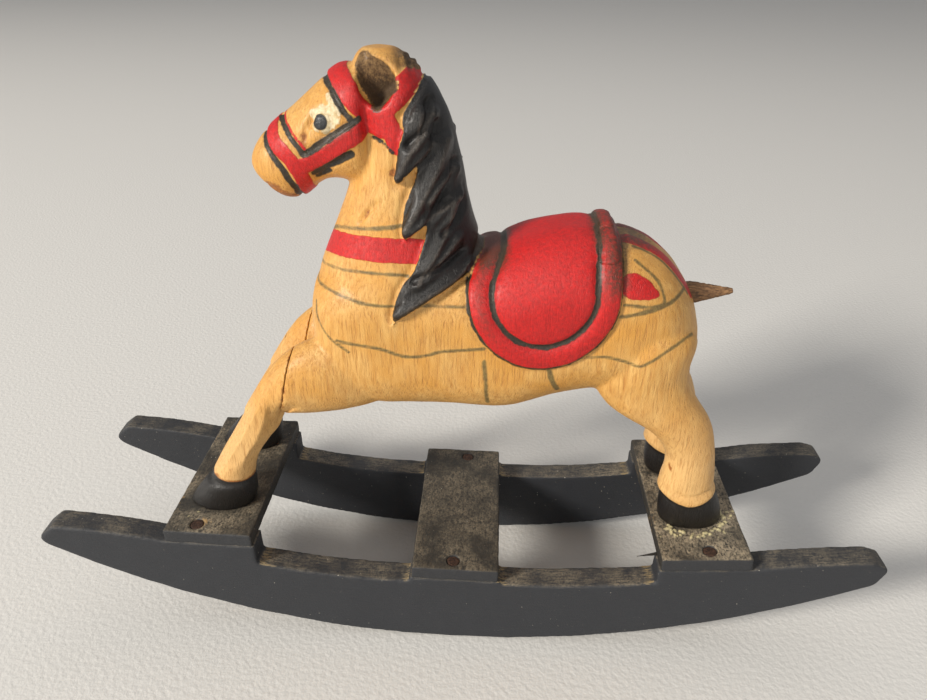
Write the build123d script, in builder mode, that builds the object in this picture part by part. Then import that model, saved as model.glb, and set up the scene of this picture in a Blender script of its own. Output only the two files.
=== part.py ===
"""Carved and painted wooden rocking horse, standing on two rockers joined by three slats.

Frame: millimetres, +Z up, the horse faces -X and its left side faces -Y.
The origin is on the ground, midway between the rocker tips and between the rockers.
"""
from build123d import *
from math import cos, radians, sin, sqrt
import os

# ---- rocker base -------------------------------------------------------------------
rocker_length = 171.3       # tip to tip, before the tips are rounded
track_width = 39.0          # over the outer faces of the two rockers
rocker_thickness = 5.2
keel_radius = 170.0         # radius of the rocking edge
balance_x = 2.3             # where the rocking edge touches the ground at rest
tip_lift = 2.0              # height of the tips over the front end of the rocking edge
tip_setback = 2.2           # from a tip's point back to the end of the rocking edge
tip_length = 4.0            # and back to the start of its top edge
front_tip_depth = 3.4       # from a tip's point up to its top corner
rear_tip_depth = 1.2
tip_rounding = 1.6
tip_crown = 0.5             # how far the tips' top edges bulge
top_edge_height = 16.9      # top edge of a rocker beside the centre slat
top_edge_front = 20.3       # the same edge where it meets the front slat's pad
top_edge_rear = 18.9        # and the rear slat's pad
top_edge_sag = 0.8
pad_margin = 0.4            # how far a pad runs out past the slat that it carries
pad_foot_radius = 1.4

# ---- slats -------------------------------------------------------------------------
slat_width = 17.8
slat_thickness = 3.0
# centre along X, height of the top face, slope in degrees (positive rises to the rear)
front_slat_seat = (-49.8, 28.4, -2.0)
centre_slat_seat = (0.0, 20.7, -1.5)
rear_slat_seat = (49.8, 26.0, 3.5)

# ---- nails -------------------------------------------------------------------------
nail_radius = 0.6
nail_head_radius = 1.35
nail_head_thickness = 0.6
nail_head_bevel = 0.15
nail_point = 1.2            # length of the tapered point
nail_recess = 0.15          # how deep a head is punched in
nail_clearance = 0.03
slat_nail_length = 11.0
hoof_nail_length = 10.0
# left and right nail, from the slat's centre line
front_nail_shifts = (-2.8, -2.0)
centre_nail_shifts = (-0.5, 1.2)
rear_nail_shifts = (1.0, 0.4)

# ---- horse -------------------------------------------------------------------------
horse_y = 1.5               # the maker set the horse a little towards the right rocker
torso_width = 26.0
paint_relief = 0.8          # how far saddle and mane stand out of the carving
cantle_relief = 2.0
head_base = (-9.4, 106.6)   # start of the head's axis, in the neck
head_drop = 19.0            # slope of the head's axis in degrees
ear_floor = 4.4             # depth of the ear hollows, from the mid-plane
hoof_half_width = 4.6
leg_half_width = 4.2
shoulder_spread = 8.6       # a foreleg's middle from the horse's mid-plane, at the seam
fore_hoof_spread = 10.0
hind_hoof_spread = 8.2
fore_hoof_x = -50.4
fore_hoof_half_length = 7.0
hind_hoof_x = 49.0
hind_hoof_half_length = 6.5
hoof_sink = 1.0             # how far a hoof is drawn past the slat before it is trimmed

# ---- glued joints ------------------------------------------------------------------
seam_x = -32.6              # butt joint between a foreleg and its stub
seam_height = 57.6
seam_tilt = -12.0           # lean of the joint in degrees
seam_half_height = 7.3
seam_half_width = 4.9
dowel_radius = 1.25
dowel_depth = 5.0           # in each half of the joint
dowel_drop = 1.6            # below the middle of the seam
glue_gap = 0.03
tail_height = 74.0
tail_root_x = 43.4          # where the peg comes out of the rump
tail_root_radius = 2.1
tail_tip_radius = 0.5
tail_length = 7.6
tail_socket_depth = 6.0

os.makedirs("parts", exist_ok=True)

half_length = rocker_length / 2
half_track = track_width / 2
nail_y = half_track - rocker_thickness / 2
mid_plane = Plane(origin=(0, horse_y, 0), x_dir=(1, 0, 0), z_dir=(0, -1, 0))


def keel_height(x):
    """Height of the rocking edge at x."""
    return keel_radius - sqrt(keel_radius**2 - (x - balance_x) ** 2)


def slat_plane(seat):
    """Plane on a slat's top face, local X along the horse, local Y across it."""
    x, top, slope = seat
    tilt = radians(slope)
    return Plane(origin=(x, 0, top), x_dir=(cos(tilt), 0, sin(tilt)), z_dir=(-sin(tilt), 0, cos(tilt)))


def across(x):
    """Plane square to the horse's length, its origin on the ground in the horse's mid-plane."""
    return Plane(origin=(x, horse_y, 0), x_dir=(0, 1, 0), z_dir=(1, 0, 0))


def level(z):
    """Horizontal plane, its origin in the horse's mid-plane."""
    return Plane(origin=(0, horse_y, z))


def leaning(x, z, drop, spread=0.0):
    """Section plane of the head or of a left leg, facing forward and down by drop degrees."""
    fall = radians(drop)
    return Plane(origin=(x, horse_y - spread, z), x_dir=(0, -1, 0), z_dir=(-cos(fall), 0, -sin(fall)))


def oval(half_width, half_height):
    """Ellipse whose outline starts at the same side whatever its proportions, so lofts run true."""
    with BuildSketch() as face:
        with BuildLine():
            EllipticalCenterArc((0, 0), half_width, half_height, start_angle=0, arc_size=180)
            EllipticalCenterArc((0, 0), half_width, half_height, start_angle=180, arc_size=180)
        make_face()
    return face.sketch


# ---- rockers -----------------------------------------------------------------------
slat_seats = {"front_slat": front_slat_seat, "centre_slat": centre_slat_seat, "rear_slat": rear_slat_seat}
nail_shifts = {
    "front_slat": front_nail_shifts,
    "centre_slat": centre_nail_shifts,
    "rear_slat": rear_nail_shifts,
}
sides = {"left": -1, "right": 1}


def pad_ends(seat):
    """Front and rear (x, z) ends of the pad under a slat."""
    half = slat_width / 2 + pad_margin
    ends = [slat_plane(seat).from_local_coords((along, 0, -slat_thickness)) for along in (-half, half)]
    return [(end.X, end.Z) for end in ends]


def between(start, end, rise):
    """Middle of an edge between two outline points, lifted by its bulge."""
    return ((start[0] + end[0]) / 2, (start[1] + end[1]) / 2 + rise)


def rocker_outline():
    """Side profile of a rocker, as a sketch in the mid-plane of the base."""
    front_pad, centre_pad, rear_pad = (pad_ends(seat) for seat in slat_seats.values())
    keel_end = half_length - tip_setback
    front_keel = (-keel_end, keel_height(-keel_end))
    rear_keel = (keel_end, keel_height(keel_end))
    tip_height = front_keel[1] + tip_lift
    front_top = (-half_length + tip_length, tip_height + front_tip_depth)
    rear_top = (half_length - tip_length, tip_height + rear_tip_depth)
    front_foot = (front_pad[1][0], top_edge_front)
    front_step = (centre_pad[0][0], top_edge_height)
    rear_step = (centre_pad[1][0], top_edge_height)
    rear_foot = (rear_pad[0][0], top_edge_rear)
    with BuildSketch() as outline:
        with BuildLine():
            ThreePointArc(front_keel, (balance_x, 0), rear_keel)
            Polyline(rear_keel, (half_length, tip_height), rear_top)
            ThreePointArc(rear_top, between(rear_top, rear_pad[1], tip_crown), rear_pad[1])
            Polyline(rear_pad[1], rear_pad[0], rear_foot)
            ThreePointArc(rear_foot, between(rear_foot, rear_step, -top_edge_sag), rear_step)
            Polyline(rear_step, centre_pad[1], centre_pad[0], front_step)
            ThreePointArc(front_step, between(front_step, front_foot, -top_edge_sag), front_foot)
            Polyline(front_foot, front_pad[1], front_pad[0])
            ThreePointArc(front_pad[0], between(front_pad[0], front_top, tip_crown), front_top)
            Polyline(front_top, (-half_length, tip_height), front_keel)
        make_face()
        tips = [v for v in outline.vertices() if abs(v.X) > half_length - tip_length - tip_rounding]
        fillet(tips, tip_rounding)
        feet = [v for v in outline.vertices() if (v.X, v.Y) in (front_foot, rear_foot)]
        fillet(feet, pad_foot_radius)
    return outline.sketch


def nail_hole(length):
    """Hole for a nail whose head faces up at the current location."""
    CounterBoreHole(
        radius=nail_radius + nail_clearance,
        counter_bore_radius=nail_head_radius + nail_clearance,
        counter_bore_depth=nail_head_thickness + nail_recess,
        depth=length + nail_recess + nail_clearance,
    )


def slat_nail_place(slat, side):
    """Where a slat nail enters, as a plane on the slat's top face."""
    along = nail_shifts[slat][list(sides).index(side)]
    return Plane(slat_plane(slat_seats[slat]) * Pos(along, sides[side] * nail_y, 0))


rocker_profile = rocker_outline()

for side, sign in sides.items():
    inner_y = sign * (half_track - rocker_thickness)
    with BuildPart() as rocker:
        with BuildSketch(Plane.XZ.offset(-inner_y)):
            add(rocker_profile)
        extrude(amount=-sign * rocker_thickness)
        for slat in slat_seats:
            with Locations(slat_nail_place(slat, side)):
                nail_hole(slat_nail_length)
    rocker.part.label = f"{side}_rocker"
    export_step(rocker.part, f"parts/{side}_rocker.step")

# ---- slats -------------------------------------------------------------------------
hoofs = {
    "fore": ("front_slat", fore_hoof_x, fore_hoof_spread),
    "hind": ("rear_slat", hind_hoof_x, hind_hoof_spread),
}


def hoof_nail_place(hoof, side):
    """Where a hoof nail enters, as a plane that faces down under its slat."""
    slat, x, spread = hoofs[hoof]
    seat = slat_seats[slat]
    y = horse_y + sides[side] * spread
    return Plane(slat_plane(seat) * Pos(x - seat[0], y, -slat_thickness) * Rot(180, 0, 0))


for slat, seat in slat_seats.items():
    with BuildPart(slat_plane(seat)) as board:
        Box(slat_width, track_width, slat_thickness, align=(Align.CENTER, Align.CENTER, Align.MAX))
    with BuildPart() as drilled:
        add(board.part)
        for side in sides:
            with Locations(slat_nail_place(slat, side)):
                nail_hole(slat_nail_length)
            for hoof in hoofs:
                if hoofs[hoof][0] == slat:
                    with Locations(hoof_nail_place(hoof, side)):
                        nail_hole(hoof_nail_length)
    drilled.part.label = slat
    export_step(drilled.part, f"parts/{slat}.step")

# ---- nails -------------------------------------------------------------------------


def make_nail(name, place, length):
    """One round nail with a flat head, driven down into a place."""
    top = (Align.CENTER, Align.CENTER, Align.MAX)
    with BuildPart(place.offset(-nail_recess)) as nail:
        Cylinder(nail_head_radius, nail_head_thickness, align=top)
        chamfer(nail.edges().group_by(Axis(place.origin, place.z_dir))[-1], nail_head_bevel)
        Cylinder(nail_radius, length - nail_point, align=top)
        with Locations((0, 0, nail_point - length)):
            Cone(nail_radius / 5, nail_radius, nail_point, align=top)
    nail.part.label = name
    export_step(nail.part, f"parts/{name}.step")


for side in sides:
    for slat in slat_seats:
        make_nail(f"{slat}_{side}_nail", slat_nail_place(slat, side), slat_nail_length)
    for hoof in hoofs:
        make_nail(f"{side}_{hoof}_hoof_nail", hoof_nail_place(hoof, side), hoof_nail_length)

# ---- glued foreleg joints ------------------------------------------------------------
seam = leaning(seam_x, seam_height, seam_tilt, shoulder_spread)
dowel_axis = Plane(seam.offset(-dowel_depth) * Pos(0, -dowel_drop, 0))


def drill_dowel_hole():
    """Hole for the dowel of the left foreleg's joint."""
    with Locations(dowel_axis.offset(-glue_gap)):
        Cylinder(
            dowel_radius + glue_gap,
            2 * (dowel_depth + glue_gap),
            align=(Align.CENTER, Align.CENTER, Align.MIN),
            mode=Mode.SUBTRACT,
        )


with BuildPart(dowel_axis) as dowel:
    Cylinder(dowel_radius, 2 * dowel_depth, align=(Align.CENTER, Align.CENTER, Align.MIN))

# ---- forelegs ----------------------------------------------------------------------
# x, height, half height, spread of a forearm, behind its seam
forearm_sections = [
    (-36.4, 53.0, 6.9, 8.8),
    (-39.4, 49.6, 6.0, 9.1),
    (-42.0, 47.4, 4.0, 9.2),
]
# height, front x, rear x, spread of a shin
shin_sections = [
    (54.0, -39.6, -34.6, 8.9),
    (50.0, -42.4, -35.3, 9.1),
    (46.0, -44.9, -36.9, 9.3),
    (42.0, -47.4, -39.6, 9.6),
    (37.5, -50.0, -41.7, 9.8),
    (32.6, -52.0, -43.0, 10.0),
]
# height, x, half length of a fore hoof
fore_hoof_sections = [
    (34.6, -47.0, 5.0),
    (32.4, -48.0, 5.9),
    (front_slat_seat[1] - hoof_sink, fore_hoof_x, fore_hoof_half_length),
]

with BuildPart() as foreleg:
    with BuildSketch(seam):
        add(oval(seam_half_width, seam_half_height))
    for x, z, half_height, spread in forearm_sections:
        with BuildSketch(across(x)):
            with Locations((-spread, z)):
                add(oval(leg_half_width, half_height))
    loft()
    for z, front, rear, spread in shin_sections:
        with BuildSketch(level(z)):
            with Locations(((front + rear) / 2, -spread)):
                add(oval((rear - front) / 2, leg_half_width))
    loft()
    for z, x, half_length in fore_hoof_sections:
        with BuildSketch(level(z)):
            with Locations((x, -fore_hoof_spread)):
                add(oval(half_length, hoof_half_width))
    loft()
    split(bisect_by=slat_plane(front_slat_seat), keep=Keep.TOP)
    drill_dowel_hole()
    with Locations(hoof_nail_place("fore", "left")):
        nail_hole(hoof_nail_length)

for name, piece in {"foreleg": foreleg, "foreleg_dowel": dowel}.items():
    with BuildPart() as right_piece:
        mirror(piece.part, about=mid_plane)
    for side, part in {"left": piece.part, "right": right_piece.part}.items():
        part.label = f"{side}_{name}"
        export_step(part, f"parts/{side}_{name}.step")

# ---- tail peg ----------------------------------------------------------------------
tail_plane = across(tail_root_x - tail_socket_depth)

with BuildPart() as tail_peg:
    with BuildSketch(tail_plane):
        with Locations((0, tail_height)):
            Circle(tail_root_radius)
    extrude(amount=tail_socket_depth)
    with BuildSketch(across(tail_root_x)):
        with Locations((0, tail_height)):
            Circle(tail_root_radius)
    with BuildSketch(across(tail_root_x + tail_length)):
        with Locations((0, tail_height + tail_root_radius / 4)):
            Circle(tail_tip_radius)
    loft()
tail_peg.part.label = "tail_peg"
export_step(tail_peg.part, "parts/tail_peg.step")

# ---- carved block ------------------------------------------------------------------
# x, height of the back, height of the belly, share of the torso's width
torso_sections = [
    (-27.2, 74.5, 63.0, 0.42),
    (-25.7, 78.0, 57.5, 0.74),
    (-21.5, 81.0, 53.0, 0.93),
    (-12.0, 82.6, 51.0, 1.0),
    (4.0, 82.4, 50.8, 1.0),
    (14.0, 85.3, 52.2, 0.99),
    (24.0, 86.7, 55.2, 0.97),
    (33.0, 84.8, 55.5, 0.94),
    (39.0, 80.3, 56.5, 0.82),
    (42.6, 75.0, 58.5, 0.62),
    (44.8, 68.5, 61.0, 0.34),
]
# height, front x, rear x, half width
neck_sections = [
    (64.0, -25.0, 2.0, 12.0),
    (72.0, -26.9, 4.0, 12.8),
    (78.0, -26.1, 4.0, 12.2),
    (84.0, -23.8, 3.0, 10.8),
    (90.0, -21.1, 1.2, 9.2),
    (96.0, -18.9, 0.0, 8.2),
    (102.0, -17.6, -1.4, 7.8),
    (107.5, -17.6, -3.2, 7.6),
    (112.0, -17.8, -6.0, 6.6),
    (115.2, -16.8, -9.0, 4.4),
    (116.3, -15.4, -10.8, 2.4),
]
# distance along the head's axis, reach above it, reach below it, half width
head_sections = [
    (0.0, 9.2, 8.6, 7.0),
    (8.4, 9.8, 9.0, 8.0),
    (13.8, 7.9, 7.6, 7.3),
    (17.4, 6.6, 6.7, 6.6),
    (21.0, 5.4, 7.8, 6.0),
    (24.5, 3.9, 7.6, 5.2),
    (26.9, 2.2, 4.8, 3.9),
    (28.0, 0.8, 2.2, 2.2),
]
# height, front x, rear x, half width, spread of a hind leg
hind_leg_sections = [
    (70.0, 28.0, 42.4, 5.4, 6.4),
    (62.0, 25.4, 43.4, 5.8, 7.2),
    (55.5, 27.4, 45.8, 5.2, 7.6),
    (51.0, 33.2, 48.8, 4.7, 7.8),
    (47.5, 38.2, 50.2, 4.4, 7.9),
    (43.0, 41.4, 51.2, 4.2, 8.0),
    (38.0, 41.6, 52.0, 4.2, 8.1),
    (33.0, 41.8, 52.9, 4.4, 8.2),
]
# x, height, half height, half width, spread of a shoulder stub
shoulder_sections = [(-25.5, 58.8, 8.2, 5.2, 7.9), (-16.0, 60.5, 8.0, 4.6, 6.8)]
# height, x, half length, half width
hind_hoof_sections = [
    (34.4, 47.4, 5.2, 4.0),
    (31.5, 47.9, 6.2, 4.6),
    (rear_slat_seat[1] - hoof_sink, hind_hoof_x, hind_hoof_half_length, hoof_half_width),
]
saddle_middle = (15.0, 79.0)
saddle_half_length = 13.1
saddle_flap_depth = 15.0
cantle_start = 23.9
cantle_end = 27.0
cantle_base = 84.5


def torso(relief=0.0):
    """Boxy, round-cornered torso, lofted from chest to rump."""
    with BuildPart() as block:
        for x, back, belly, share in torso_sections:
            half_width = share * torso_width / 2 + relief
            half_height = (back - belly) / 2 + relief
            with BuildSketch(across(x)):
                with Locations((0, (back + belly) / 2)):
                    RectangleRounded(2 * half_width, 2 * half_height, 0.84 * min(half_width, half_height))
        loft()
    return block.part


def neck(relief=0.0):
    """Neck and crown, lofted from the withers to the poll."""
    with BuildPart() as block:
        for z, front, rear, half_width in neck_sections:
            with BuildSketch(level(z)):
                with Locations(((front + rear) / 2, 0)):
                    add(oval((rear - front) / 2 + relief, half_width + relief))
        loft()
    return block.part


def head():
    """Head, lofted along its own axis to the nose."""
    fall = radians(head_drop)
    with BuildPart() as block:
        for along, above, below, half_width in head_sections:
            x = head_base[0] - along * cos(fall)
            z = head_base[1] - along * sin(fall)
            with BuildSketch(leaning(x, z, head_drop)):
                with Locations((0, (above - below) / 2)):
                    add(oval(half_width, (above + below) / 2))
        loft()
    return block.part


with BuildPart() as mane:
    add(neck(paint_relief))
    with BuildSketch(mid_plane):
        with BuildLine():
            Polyline(
                (-9.4, 103.0), (-9.9, 96.6), (-6.3, 99.0), (-8.9, 87.0), (-4.9, 89.4), (-11.3, 72.4),
                (1.0, 79.0), (6.0, 84.0), (6.0, 100.0), (0.0, 112.0), (-4.5, 113.0), (-9.4, 103.0),
            )
        make_face()
    extrude(amount=torso_width, both=True, mode=Mode.INTERSECT)

with BuildPart() as saddle:
    add(torso(paint_relief))
    with BuildSketch(mid_plane):
        with Locations(saddle_middle):
            Ellipse(saddle_half_length, saddle_flap_depth)
            Rectangle(2 * saddle_half_length, saddle_flap_depth, align=(Align.CENTER, Align.MIN))
    extrude(amount=torso_width, both=True, mode=Mode.INTERSECT)

with BuildPart() as cantle:
    add(torso(cantle_relief))
    with BuildSketch(mid_plane):
        with Locations((cantle_start, cantle_base)):
            Rectangle(cantle_end - cantle_start, saddle_flap_depth, align=(Align.MIN, Align.MIN))
    extrude(amount=torso_width, both=True, mode=Mode.INTERSECT)

with BuildPart() as left_legs:
    for z, front, rear, half_width, spread in hind_leg_sections:
        with BuildSketch(level(z)):
            with Locations(((front + rear) / 2, -spread)):
                add(oval((rear - front) / 2, half_width))
    loft()
    for z, x, half_length, half_width in hind_hoof_sections:
        with BuildSketch(level(z)):
            with Locations((x, -hind_hoof_spread)):
                add(oval(half_length, half_width))
    loft()
    with BuildSketch(seam):
        add(oval(seam_half_width, seam_half_height))
    for x, z, half_height, half_width, spread in shoulder_sections:
        with BuildSketch(across(x)):
            with Locations((-spread, z)):
                add(oval(half_width, half_height))
    loft()
    drill_dowel_hole()

with BuildPart() as ear_hollow:
    with BuildSketch(mid_plane.offset(ear_floor)):
        with BuildLine():
            ThreePointArc((-13.6, 115.8), (-16.2, 112.2), (-12.8, 107.8))
            ThreePointArc((-12.8, 107.8), (-9.8, 111.6), (-13.6, 115.8))
        make_face()
    extrude(amount=torso_width)

with BuildPart() as horse_carving:
    add(torso())
    add(neck())
    add(head())
    add(mane.part)
    add(saddle.part)
    add(cantle.part)
    add(left_legs.part)
    mirror(left_legs.part, about=mid_plane)
    add(ear_hollow.part, mode=Mode.SUBTRACT)
    mirror(ear_hollow.part, about=mid_plane, mode=Mode.SUBTRACT)
    split(bisect_by=slat_plane(rear_slat_seat), keep=Keep.TOP)
    with BuildSketch(tail_plane.offset(-glue_gap)):
        with Locations((0, tail_height)):
            Circle(tail_root_radius + glue_gap)
    extrude(amount=tail_socket_depth + tail_length, mode=Mode.SUBTRACT)
    for side in sides:
        with Locations(hoof_nail_place("hind", side)):
            nail_hole(hoof_nail_length)
horse_carving.part.label = "horse_carving"
export_step(horse_carving.part, "parts/horse_carving.step")
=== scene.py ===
"""Carved and painted wooden rocking horse: the looks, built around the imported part."""

import math

import bpy
import numpy as np
from mathutils import Matrix, Vector, kdtree


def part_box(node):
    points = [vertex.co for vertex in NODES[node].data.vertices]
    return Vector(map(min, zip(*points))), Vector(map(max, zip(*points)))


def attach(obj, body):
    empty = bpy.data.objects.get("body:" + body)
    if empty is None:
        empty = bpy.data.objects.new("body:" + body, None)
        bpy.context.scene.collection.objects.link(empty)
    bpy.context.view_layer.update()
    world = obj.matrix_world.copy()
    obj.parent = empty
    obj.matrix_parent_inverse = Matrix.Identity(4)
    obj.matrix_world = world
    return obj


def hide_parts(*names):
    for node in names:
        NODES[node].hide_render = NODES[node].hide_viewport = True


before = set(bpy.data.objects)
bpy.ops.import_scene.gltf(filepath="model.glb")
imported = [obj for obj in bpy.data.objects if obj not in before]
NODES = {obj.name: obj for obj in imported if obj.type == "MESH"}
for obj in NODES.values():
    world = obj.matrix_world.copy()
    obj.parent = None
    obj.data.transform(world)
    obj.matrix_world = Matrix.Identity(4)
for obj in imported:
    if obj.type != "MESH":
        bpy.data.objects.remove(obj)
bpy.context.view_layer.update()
MM = 0.001
HANDS = ("left", "right")
SLATS = ("front", "centre", "rear")
HORSE_Y = 1.5  # the horse stands this far off the base's middle, in mm

bpy.context.scene.view_settings.view_transform = "Standard"

# ---- camera and light ----------------------------------------------------------------

CAMERA_PLACE = (0.0060, -0.1194, 0.1314)
CAMERA_TURN, CAMERA_DOWN, CAMERA_ROLL = 2.53, 30.48, 0.19  # degrees

camera_data = bpy.data.cameras.new("camera")
camera_data.sensor_width = 36.0
camera_data.lens = 27.28
camera_data.clip_start = 0.005
camera = bpy.data.objects.new("camera", camera_data)
bpy.context.scene.collection.objects.link(camera)
turn = Matrix.Rotation(math.radians(CAMERA_TURN), 4, "Z")
tilt = Matrix.Rotation(math.radians(90.0 - CAMERA_DOWN), 4, "X")
roll = Matrix.Rotation(math.radians(CAMERA_ROLL), 4, "Z")
camera.matrix_world = Matrix.Translation(CAMERA_PLACE) @ turn @ tilt @ roll
bpy.context.scene.camera = camera


def soft_light(name, place, aim, size, power, colour):
    """A square lamp at a place, turned to face a point."""
    lamp = bpy.data.lights.new(name, "AREA")
    lamp.size = size
    lamp.energy = power
    lamp.color = colour
    lamp_object = bpy.data.objects.new(name, lamp)
    lamp_object.location = place
    lamp_object.rotation_euler = (Vector(aim) - Vector(place)).to_track_quat("-Z", "Y").to_euler()
    bpy.context.scene.collection.objects.link(lamp_object)


soft_light("window", (-1.72, -1.24, 1.18), (0.0, 0.0, 0.05), 0.46, 71.0, (1.0, 0.95, 0.87))
soft_light("bounce", (0.30, -0.95, 0.35), (0.0, 0.0, 0.05), 0.9, 2.2, (1.0, 0.97, 0.92))
soft_light("overhead", (0.1, 0.15, 0.9), (0.0, 0.0, 0.0), 0.8, 1.2, (1.0, 0.98, 0.95))

# ---- small helpers -------------------------------------------------------------------


def srgb(code):
    """Linear colour of an sRGB hex code."""
    parts = [int(code[i:i + 2], 16) / 255 for i in (1, 3, 5)]
    return tuple(c / 12.92 if c <= 0.04045 else ((c + 0.055) / 1.055) ** 2.4 for c in parts) + (1.0,)


def add(tree, kind, inputs=None, **settings):
    """Adds a node, sets its properties, and sets or links its inputs."""
    made = tree.nodes.new(kind)
    for name, value in settings.items():
        setattr(made, name, value)
    for name, value in (inputs or {}).items():
        if isinstance(value, bpy.types.NodeSocket):
            tree.links.new(value, made.inputs[name])
        else:
            made.inputs[name].default_value = value
    return made


def new_material(name):
    """An empty node material: its tree, its shader and its coordinates in millimetres."""
    material = bpy.data.materials.new(name)
    material.use_nodes = True
    tree = material.node_tree
    tree.nodes.clear()
    shader = tree.nodes.new("ShaderNodeBsdfPrincipled")
    add(tree, "ShaderNodeOutputMaterial", {"Surface": shader.outputs["BSDF"]})
    place = add(tree, "ShaderNodeTexCoord")
    millimetres = add(tree, "ShaderNodeMapping", {"Vector": place.outputs["Object"], "Scale": (1 / MM,) * 3})
    return material, tree, shader, millimetres.outputs["Vector"]


def coat(piece, material):
    """Leaves a piece with one material."""
    piece.data.materials.clear()
    piece.data.materials.append(material)


def dress(piece, material, node):
    """Finishes a worked piece and lets it stand for its CAD node."""
    coat(piece, material)
    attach(piece, "root")
    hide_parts(node)


def only(piece):
    """Selects one piece and makes it active."""
    bpy.ops.object.select_all(action="DESELECT")
    piece.select_set(True)
    bpy.context.view_layer.objects.active = piece


def finish_modifier(piece, kind, **settings):
    """Adds a modifier, sets it and applies it."""
    modifier = piece.modifiers.new(kind.lower(), kind)
    for name, value in settings.items():
        setattr(modifier, name, value)
    only(piece)
    bpy.ops.object.modifier_apply(modifier=modifier.name)


def worked_copy(node, name, voxel, smoothing):
    """A copy of a CAD node with an even skin and eased edges, ready for hand work."""
    piece = bpy.data.objects.new(name, NODES[node].data.copy())
    bpy.context.scene.collection.objects.link(piece)
    only(piece)
    bpy.ops.object.mode_set(mode="EDIT")
    bpy.ops.mesh.select_all(action="SELECT")
    bpy.ops.mesh.remove_doubles(threshold=1e-6)
    bpy.ops.object.mode_set(mode="OBJECT")
    finish_modifier(piece, "REMESH", mode="VOXEL", voxel_size=voxel * MM)
    finish_modifier(piece, "SMOOTH", factor=0.5, iterations=smoothing)
    only(piece)
    bpy.ops.object.shade_smooth()
    return piece


def waver(piece, name, size, depth):
    """Uneven hand work: pushes the skin in and out by up to half of depth, in patches of a size."""
    pattern = bpy.data.textures.new(name, "CLOUDS")
    pattern.noise_scale = size * MM
    pattern.noise_depth = 2
    finish_modifier(piece, "DISPLACE", texture=pattern, texture_coords="LOCAL", strength=depth * MM,
                    mid_level=0.5)


def skin(piece):
    """Points and outward directions of a piece's skin, the points in mm."""
    count = len(piece.data.vertices)
    points = np.zeros(count * 3)
    normals = np.zeros(count * 3)
    piece.data.vertices.foreach_get("co", points)
    piece.data.vertices.foreach_get("normal", normals)
    return points.reshape(-1, 3) / MM, normals.reshape(-1, 3)


def set_skin(piece, points):
    """Puts a piece's skin at these points, in mm."""
    piece.data.vertices.foreach_set("co", (points * MM).ravel())
    piece.data.update()


def mark(piece, name, values):
    """Stores one number for each point of the skin, for the paint to read."""
    layer = piece.data.attributes.new(name, "FLOAT", "POINT")
    layer.data.foreach_set("value", np.asarray(values, np.float32))


def flowing(points, closed=False, steps=5):
    """A smooth line through given points."""
    points = np.array(points, float)
    if closed:
        padded = np.vstack([points[-1], points, points[0], points[1]])
    else:
        padded = np.vstack([2 * points[0] - points[1], points, 2 * points[-1] - points[-2]])
    line = []
    for p0, p1, p2, p3 in zip(padded[:-3], padded[1:-2], padded[2:-1], padded[3:]):
        for t in np.arange(steps) / steps:
            line.append(
                0.5 * (2 * p1 + (p2 - p0) * t + (2 * p0 - 5 * p1 + 4 * p2 - p3) * t * t
                       + (3 * p1 - p0 - 3 * p2 + p3) * t ** 3)
            )
    line.append(padded[-2])
    return np.array(line)


def stroke_distance(points, line):
    """Distance of each point from a line of straight runs."""
    best = np.full(len(points), np.inf)
    for a, b in zip(line[:-1], line[1:]):
        run = b - a
        share = np.clip(((points - a) @ run) / max(run @ run, 1e-9), 0, 1)
        best = np.minimum(best, np.linalg.norm(points - a - share[:, None] * run, axis=1))
    return best


def outline_distance(points, outline):
    """Distance from a closed outline in the plane, negative inside."""
    inside = np.zeros(len(points), bool)
    for (xa, ya), (xb, yb) in zip(outline, np.roll(outline, -1, axis=0)):
        crosses = (ya > points[:, 1]) != (yb > points[:, 1])
        at = xa + (points[:, 1] - ya) * (xb - xa) / np.where(yb == ya, 1e-9, yb - ya)
        inside ^= crosses & (points[:, 0] < at)
    away = stroke_distance(points, np.vstack([outline, outline[:1]]))
    return np.where(inside, -away, away)


def bump_at(distance, width):
    """1 on a line, falling to 0 about a width away."""
    return np.exp(-(distance / width) ** 2)


def ramp(values, low, high):
    """0 below low, 1 above high, smooth between."""
    share = np.clip((values - low) / (high - low), 0, 1)
    return share * share * (3 - 2 * share)


# ---- painted and carved lines of the horse: (x, distance from its middle plane, z) in mm --

FAR = 9.0  # stands for a distance at which a paint doesn't reach
FLAP_LOW = 62.0  # no saddle below this height
MANE_LOW = 72.0  # no mane below this height
HOOF_HIGH = 45.0  # no hoof above this height
SADDLE_FRONT, SADDLE_REAR = 1.9, 28.1  # x of the flap's upright edges
SADDLE_TURN, SADDLE_DROP = 79.0, 14.4  # height where the flap rounds in, and how far it reaches below
SADDLE_MEAN = 13.4  # mean radius of that round
CANTLE_X, CANTLE_HALF, CANTLE_LOW = 25.45, 2.3, 84.2  # middle and half length of the raised cantle, lowest z
FLAP_GROOVE_INSET = 4.1  # a dark line in a cut groove runs this far inside the flap's edge

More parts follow.
